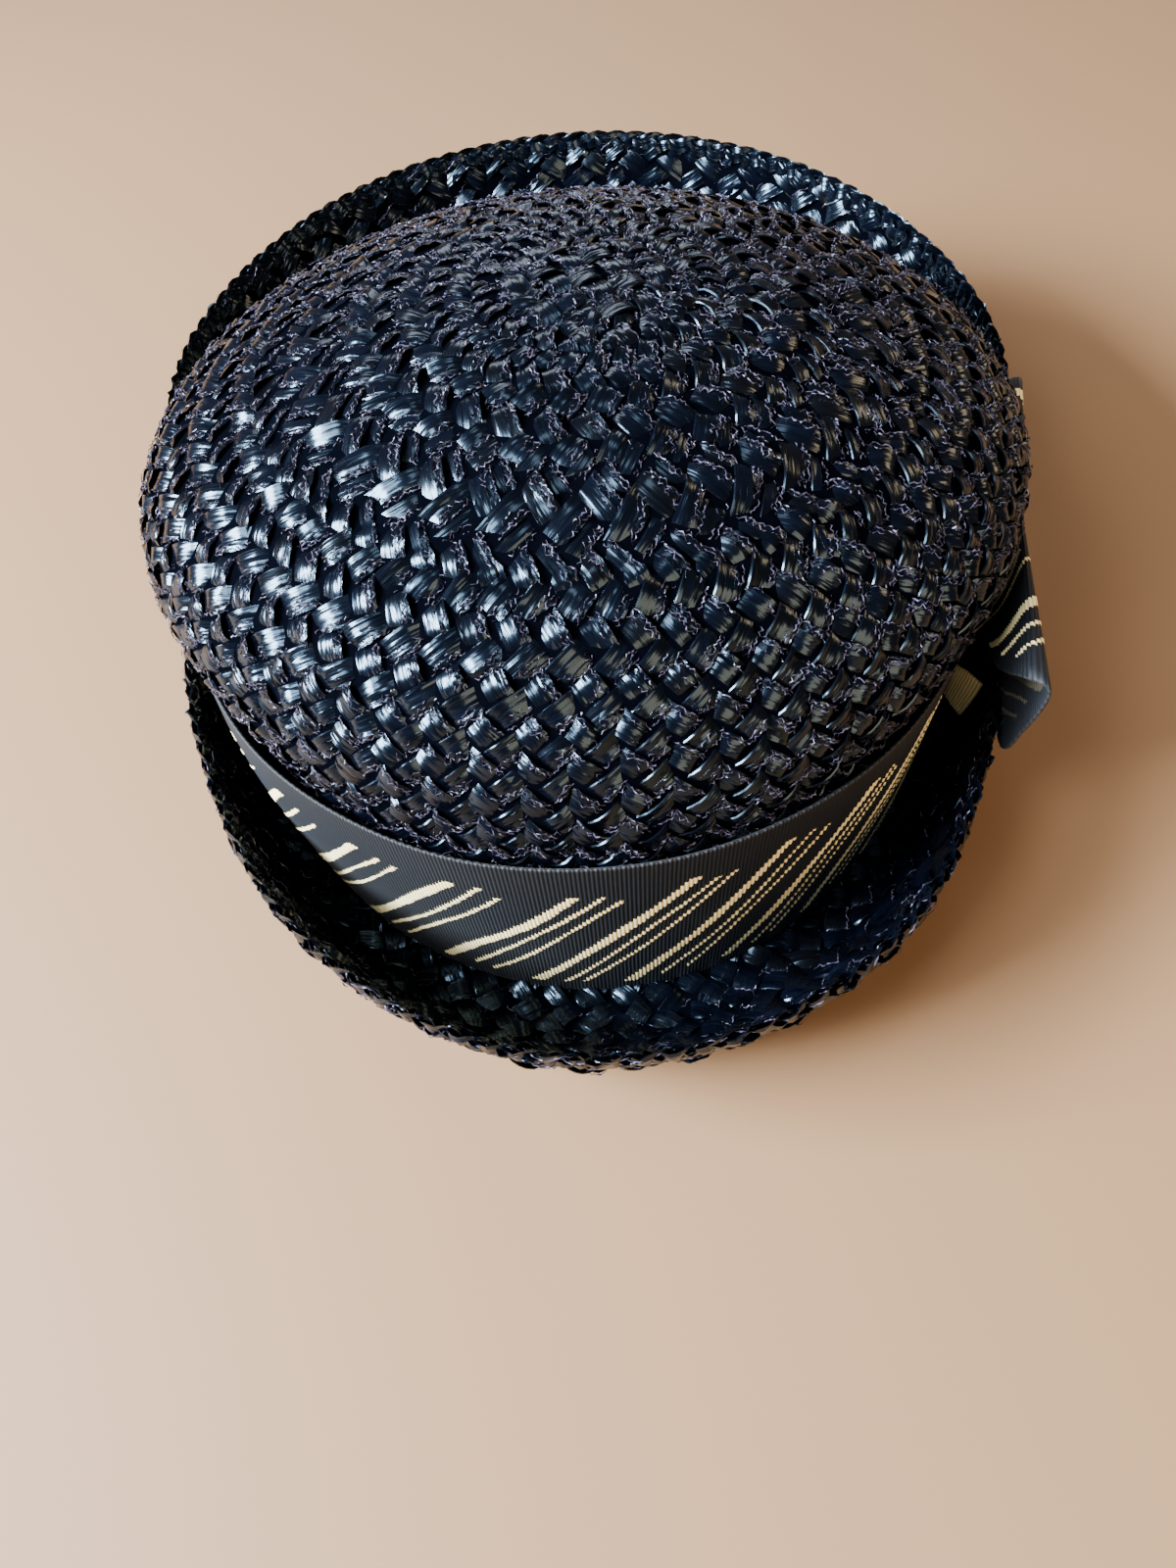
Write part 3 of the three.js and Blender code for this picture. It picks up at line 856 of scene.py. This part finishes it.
def stroke_part(surface, first, last, start, pitch, generator):
    """Raised cream threads, one for each rib that a stroke crosses.

    The surface gives points for places along the ribbon, heights on it and lifts off it.
    """
    spots, charts = [], []
    groups = range(int((first - start) / pitch) - 3, int((last - start) / pitch) + 2)
    for group in groups:
        group_lean = STROKE_LEAN + generator.uniform(-0.05, 0.05)
        for place_in_group, half, lowest, highest in STROKES:
            lean = group_lean + generator.uniform(-0.015, 0.015)
            origin = start + group * pitch + place_in_group + generator.uniform(-0.25, 0.25)
            bottom = lowest + generator.uniform(-0.8, 0.8)
            top = highest + generator.uniform(-1.8, 1.2)
            sway = generator.uniform(0.25, 0.6), generator.uniform(0, TURN)
            ribs = range(int((origin + lean * bottom - half) / RIB), int((origin + lean * top + half) / RIB) + 1)
            for rib in ribs:
                along = (rib + 0.5) * RIB
                if not first + RIB < along < last - RIB:
                    continue
                middle = (along - origin) / lean + sway[0] * np.sin(along / 5.0 + sway[1])
                reach = half / lean * (1 + 0.12 * np.sin(along / 3.1 + sway[1]))
                low_end = max(middle - reach + generator.uniform(-0.2, 0.2), bottom)
                high_end = min(middle + reach + generator.uniform(-0.2, 0.2), top)
                if high_end - low_end < 0.35:
                    continue
                for side in (-0.5, 0.0, 0.5):
                    for height in (low_end, high_end):
                        spots.append((along + side * RIB, height, STROKE_LIFT))
                        charts.append((along + side * RIB * 0.98, height, 1.0))
    spots = np.array(spots)
    pieces = len(spots) // 6
    quads = np.array([(0, 2, 3, 1), (2, 4, 5, 3)])[None] + np.arange(pieces)[:, None, None] * 6
    return surface(spots[:, 0], spots[:, 1], spots[:, 2]), quads.reshape(-1, 4), np.array(charts)


def band_point(angle, height, off):
    """A point off the band's outer face, square to the headline."""
    share = height / BAND_WIDTH
    half_width = HALF_WIDTH + (BAND_TOP[0] - HALF_WIDTH) * share
    half_length = HALF_LENGTH + (BAND_TOP[1] - HALF_LENGTH) * share
    away = headline_point(angle, off, 0 * height) - headline_point(angle, 0 * off, 0 * height)
    return np.stack([half_width * np.sin(angle), -half_length * np.cos(angle), height + 0 * angle], -1) + away


def make_band(generator):
    """The ribbon round the crown."""
    angles = np.linspace(0, TURN, 20001)
    middle = band_point(angles, np.full_like(angles, BAND_WIDTH / 2), np.zeros_like(angles))
    travelled = np.concatenate([[0], np.cumsum(np.linalg.norm(np.diff(middle, axis=0), axis=-1))])
    whole = travelled[-1]
    stretch = round(whole / RIB) * RIB / whole

    def surface(along, up, lift):
        angle = np.interp((along / stretch) % whole, travelled, angles)
        swell = 0.16 * np.sin(5 * angle + 0.7) * np.cos(up / 18) + 0.10 * np.sin(13 * angle + 2 + up / 15)
        turned = (angle - BULGE["angle"] + np.pi) % TURN - np.pi
        swell = swell + BULGE["out"] * np.exp(-((turned / BULGE["spread"]) ** 2)) * np.sin(up / BULGE["height"])
        return band_point(angle, up, rib_wave(along) + swell + lift)

    columns = round(whole / RIB) * RIB_STEPS
    along = np.arange(columns) / RIB_STEPS * RIB
    scallop = SCALLOP * np.cos(along / RIB * np.pi)
    heights = np.array([0.0, 0.5, 1.4, 10, 20, 30, 40, 48.6, 49.5, 50.0])
    back_heights = np.array([49.6, 38, 25, 12, 0.4])
    rings = []
    for row, height in enumerate(heights):
        edge = row in (0, len(heights) - 1)
        level = height + (scallop * np.sign(height - BAND_WIDTH / 2) if edge else 0.0) + 0 * along
        rings.append(surface(along, level, -0.15 if edge else 0.0))
    for height in back_heights:
        rings.append(surface(along, height + 0 * along, -RIBBON - rib_wave(along)))
    rings = np.array(rings)
    quads = grid_quads(len(rings), columns, wrap_rows=True, wrap_columns=True)
    levels = np.concatenate([heights, back_heights])
    chart = np.stack(np.broadcast_arrays(along[None], levels[:, None], 0.0), -1).reshape(-1, 3)
    round_it = whole * stretch
    seam = np.interp(SEAM_ANGLE, angles, travelled) * stretch
    strokes = stroke_part(surface, seam, seam + round_it, STROKE_START, round_it / STROKE_GROUPS, generator)
    points = np.vstack([rings.reshape(-1, 3), strokes[0]])
    quads = np.vstack([quads, strokes[1] + rings.size // 3])
    chart = np.vstack([chart, strokes[2]])
    band = new_mesh("ribbon_band_cloth", points, quads, ribbon, {"ribbon": chart})
    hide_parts("ribbon_band")


make_band(ribbon_rng)

# Bow strips: along, off and rise of the strip's free edge, then of its inner edge
KNOT_ANGLE = np.radians(78)
BOW_RADIUS = 101.0
KNOT = {"half": 11.5, "low": 16, "high": 29, "near": 0.9, "far": 5.6, "corner": 1.4}
LOOP_ROWS = np.array([
    (9, 2.3, 17, 1, 2.3, 17),
    (9.5, 2.4, 30.5, 1, 2.4, 30.5),
    (19, 3.4, 38, 0.8, 3.0, 41),
    (33, 8.0, 45.2, 0.8, 4.4, 50),
    (42, 12.8, 54.2, 0.8, 5.4, 54),
    (43.5, 16.5, 55.8, 0.8, 6.4, 54),
    (43.5, 18.6, 52.9, 0.8, 7.2, 51),
    (42, 17.7, 41.0, 0.8, 7.2, 42),
    (37, 15.0, 29.0, 0.8, 6.2, 36),
    (9.5, 4.2, 30, 1, 4.2, 30),
    (9, 4.1, 17, 1, 4.1, 17),
])
TUCK_ROWS = np.array([
    (12, 0.9, 21, 12, 0.9, 29),
    (20, 0.9, 22, 21, 0.9, 31.5),
    (24, 3.2, 22, 25, 3.6, 33.5),
    (27, 6.0, 22, 28, 7.2, 34),
])
# How far the middle of a fold hangs in, as a share of how much further out its free edge stands
FOLD_DIP = 0.22
# How pale the strokes are on the inside of a loop
INSIDE_CREAM = 0.05
# Where the broad stroke at the end of the tuck begins
TUCK_CREAM = 8.5
STRIP_SPANS = 12
BOW_RIBBON = 0.5


def strip_middle(rows, way, places, shares):
    station = rows_between(rows, places)
    edge, inner = station[..., :3], station[..., 3:]
    mixed = edge + (inner - edge) * shares[..., None]
    angle = KNOT_ANGLE + way * mixed[..., 0] / BOW_RADIUS
    dip = FOLD_DIP * (edge[..., 1] - inner[..., 1]) * 4 * shares * (1 - shares)
    return band_point(angle, mixed[..., 2], mixed[..., 1] - dip)


def ribbon_strip(name, rows, way, node, stroke_start, generator, cream_from=np.inf):
    """A strip of ribbon with ribs across it, along the stations of a table, with strokes on both faces.

    Past the place where the cream begins, the strip shows nothing but one broad stroke.
    """
    fine = np.linspace(0, len(rows) - 1, 2000)
    line = strip_middle(rows, way, fine, np.full_like(fine, 0.4))
    travelled = np.concatenate([[0], np.cumsum(np.linalg.norm(np.diff(line, axis=0), axis=-1))])
    whole = travelled[-1]
    nudge = 0.01

    def at(along, share):
        return strip_middle(rows, way, np.interp(along, travelled, fine), share)

    def face(way_out):
        def surface(along, up, lift):
            share = up / BAND_WIDTH
            lengthwise = at(along + nudge, share) - at(along - nudge, share)
            crosswise = at(along, share + nudge) - at(along, share - nudge)
            normal = unit(np.cross(lengthwise, crosswise)) * way_out
            out = BOW_RIBBON / 2 + way_out * rib_wave(along) + lift
            return at(along, share) + normal * out[..., None]
        return surface

    stations = int(round(whole / RIB)) * RIB_STEPS
    along, up = np.meshgrid(np.linspace(0.05, whole - 0.05, stations), np.linspace(0, BAND_WIDTH, STRIP_SPANS + 1),
                            indexing="ij")
    front = face(1)(along, up, 0 * along)
    back = face(-1)(along, up, 0 * along)
    rings = np.concatenate([front, back[:, ::-1]], axis=1)
    count = rings.shape[1]
    cap = np.array([(k, k + 1, count - 2 - k, count - 1 - k) for k in range(STRIP_SPANS)])
    quads = [grid_quads(stations, count, wrap_columns=True), cap[:, ::-1], cap + (stations - 1) * count]
    cream = (along > cream_from).astype(float)
    chart = np.stack([np.hstack([along, along]), np.hstack([up, up[:, ::-1]]), np.hstack([cream, cream])], -1)
    points, charts = [rings.reshape(-1, 3)], [chart.reshape(-1, 3)]
    done = rings.size // 3
    for way_out in (1, -1):
        spots, strips, marks = stroke_part(face(way_out), 0, whole, stroke_start, STROKE_PITCH, generator)
        if way_out == way:
            marks[:, 2] = INSIDE_CREAM
        points.append(spots)
        quads.append(strips + done)
        charts.append(marks)
        done += len(spots)
    attributes = {"ribbon": np.vstack(charts)}
    strip = new_mesh(name, np.vstack(points), np.vstack(quads), ribbon, attributes)
    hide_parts(node)


STROKE_PITCH = 21.9
ribbon_strip("bow_back_cloth", LOOP_ROWS, -1, "bow_loop_back", 6.0, ribbon_rng)
ribbon_strip("bow_front_cloth", LOOP_ROWS, 1, "bow_loop_front", 2.0, ribbon_rng)
ribbon_strip("bow_tuck_cloth", TUCK_ROWS, -1, "bow_tuck", 30.0, ribbon_rng, TUCK_CREAM)


def make_knot():
    """The flat sleeve of ribbon round the feet of the loops."""
    grow = 0.25
    rings = []
    corners = [(1, "far", 0), (-1, "far", 1), (-1, "near", 2), (1, "near", 3)]
    outlines = []
    for offset in (grow, -grow):
        radius = KNOT["corner"] + offset
        end = KNOT["half"] + offset
        sides = {"near": KNOT["near"] - offset, "far": KNOT["far"] + offset}
        outline = []
        for sign, side, quarter in corners:
            middle = (sign * (end - radius), sides[side] + (radius if side == "near" else -radius))
            for step in range(5):
                turn = (quarter + step / 4) * np.pi / 2
                outline.append((middle[0] + radius * np.cos(turn), middle[1] + radius * np.sin(turn)))
        dense = []
        for k, spot in enumerate(outline):
            after = outline[(k + 1) % len(outline)]
            pieces = max(1, 24 if k % 5 == 4 and quarter is not None else 1)
            for step in range(pieces):
                share = step / pieces
                dense.append((spot[0] + (after[0] - spot[0]) * share, spot[1] + (after[1] - spot[1]) * share))
        outlines.append(np.array(dense))
    heights = np.linspace(KNOT["low"], KNOT["high"], 14)
    outer = [band_point(KNOT_ANGLE + outlines[0][:, 0] / BOW_RADIUS, np.full(len(outlines[0]), h), outlines[0][:, 1])
             for h in heights]
    inner = [band_point(KNOT_ANGLE + outlines[1][:, 0] / BOW_RADIUS, np.full(len(outlines[1]), h), outlines[1][:, 1])
             for h in heights[::-1]]
    rings = np.array(outer + inner)
    quads = grid_quads(len(rings), rings.shape[1], wrap_rows=True, wrap_columns=True)
    levels = np.concatenate([heights, heights[::-1]])
    round_it = np.linspace(0, 60, rings.shape[1])
    chart = np.stack(np.broadcast_arrays(levels[:, None], round_it[None] * 0.5, 0.0), -1)
    knot = new_mesh("bow_knot_cloth", rings.reshape(-1, 3), quads, ribbon, {"ribbon": chart.reshape(-1, 3)})
    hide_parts("bow_knot")


make_knot()


# Floor, light and camera


def add_floor():
    n = Nodes("floor")
    spots = n.noise(n.add("ShaderNodeTexCoord").outputs["Object"], 6.0, 3.0)
    n.shade(Base_Color=n.mix(spots, (0.225, 0.122, 0.056, 1), (0.235, 0.128, 0.059, 1)), Roughness=0.7)
    half = 2.5
    mesh = bpy.data.meshes.new("floor")
    mesh.from_pydata([(-half, -half, 0), (half, -half, 0), (half, half, 0), (-half, half, 0)], [], [(0, 1, 2, 3)])
    mesh.materials.append(n.material)
    floor = bpy.data.objects.new("floor", mesh)
    bpy.context.scene.collection.objects.link(floor)


add_floor()

MIDDLE = place((0, 0, 60))


def add_area(name, direction, distance, size, energy, colour):
    """A soft area light that points at the middle of the hat."""
    light = bpy.data.lights.new(name, "AREA")
    light.shape = "RECTANGLE"
    light.size, light.size_y = size
    light.energy = energy
    light.color = colour
    lamp = bpy.data.objects.new(name, light)
    away = unit(np.array(direction, float))
    right = unit(np.cross((0, 0, 1), away))
    up = np.cross(away, right)
    turn = Matrix((right, up, away)).transposed().to_4x4()
    lamp.matrix_world = Matrix.Translation(MIDDLE + away * distance) @ turn
    bpy.context.scene.collection.objects.link(lamp)


add_area("window", (-0.84, -0.24, 0.50), 1.2, (0.70, 0.38), 155.0, (0.80, 0.90, 1.0))
add_area("high_window", (-0.50, -0.42, 0.75), 1.2, (0.4, 0.4), 16.0, (0.84, 0.92, 1.0))
add_area("sky", (0.0, 0.05, 1.0), 1.3, (0.35, 0.35), 2.5, (0.88, 0.94, 1.0))
add_area("front", (-0.12, 0.88, 0.44), 1.4, (0.9, 0.45), 5.0, (0.86, 0.93, 1.0))
add_area("warm_fill", (0.80, 0.40, 0.40), 1.6, (0.4, 0.4), 4.0, (1.0, 0.68, 0.38))
add_area("room", (0.50, -0.76, 0.42), 1.6, (1.2, 0.9), 25.0, (1.0, 0.72, 0.44))

world = bpy.data.worlds.new("studio")
world.use_nodes = True
world.node_tree.nodes["Background"].inputs["Color"].default_value = (1.0, 0.95, 0.90, 1)
world.node_tree.nodes["Background"].inputs["Strength"].default_value = 0.12
bpy.context.scene.world = world

# Camera fitted to the photograph: place, and the ways it looks right, up and ahead
CAMERA_PLACE = np.array([8.9, -212.2, 221.7])
CAMERA_RIGHT = np.array([0.998, -0.0145, -0.0618])
CAMERA_AHEAD = np.array([-0.0411, 0.5949, -0.8027])
FOCAL_PIXELS = 1150.0
IMAGE_HEIGHT = 1600
SENSOR = 36.0

camera_data = bpy.data.cameras.new("camera")
camera_data.sensor_width = SENSOR
camera_data.lens = FOCAL_PIXELS * SENSOR / IMAGE_HEIGHT
camera_data.clip_start = 0.01
camera = bpy.data.objects.new("camera", camera_data)
ahead = unit(CAMERA_AHEAD)
right = unit(CAMERA_RIGHT - ahead * (CAMERA_RIGHT @ ahead))
upward = np.cross(right, ahead)
camera.matrix_world = Matrix.Translation(place(CAMERA_PLACE)) @ Matrix((right, upward, -ahead)).transposed().to_4x4()
bpy.context.scene.collection.objects.link(camera)
bpy.context.scene.camera = camera

bpy.context.view_layer.update()
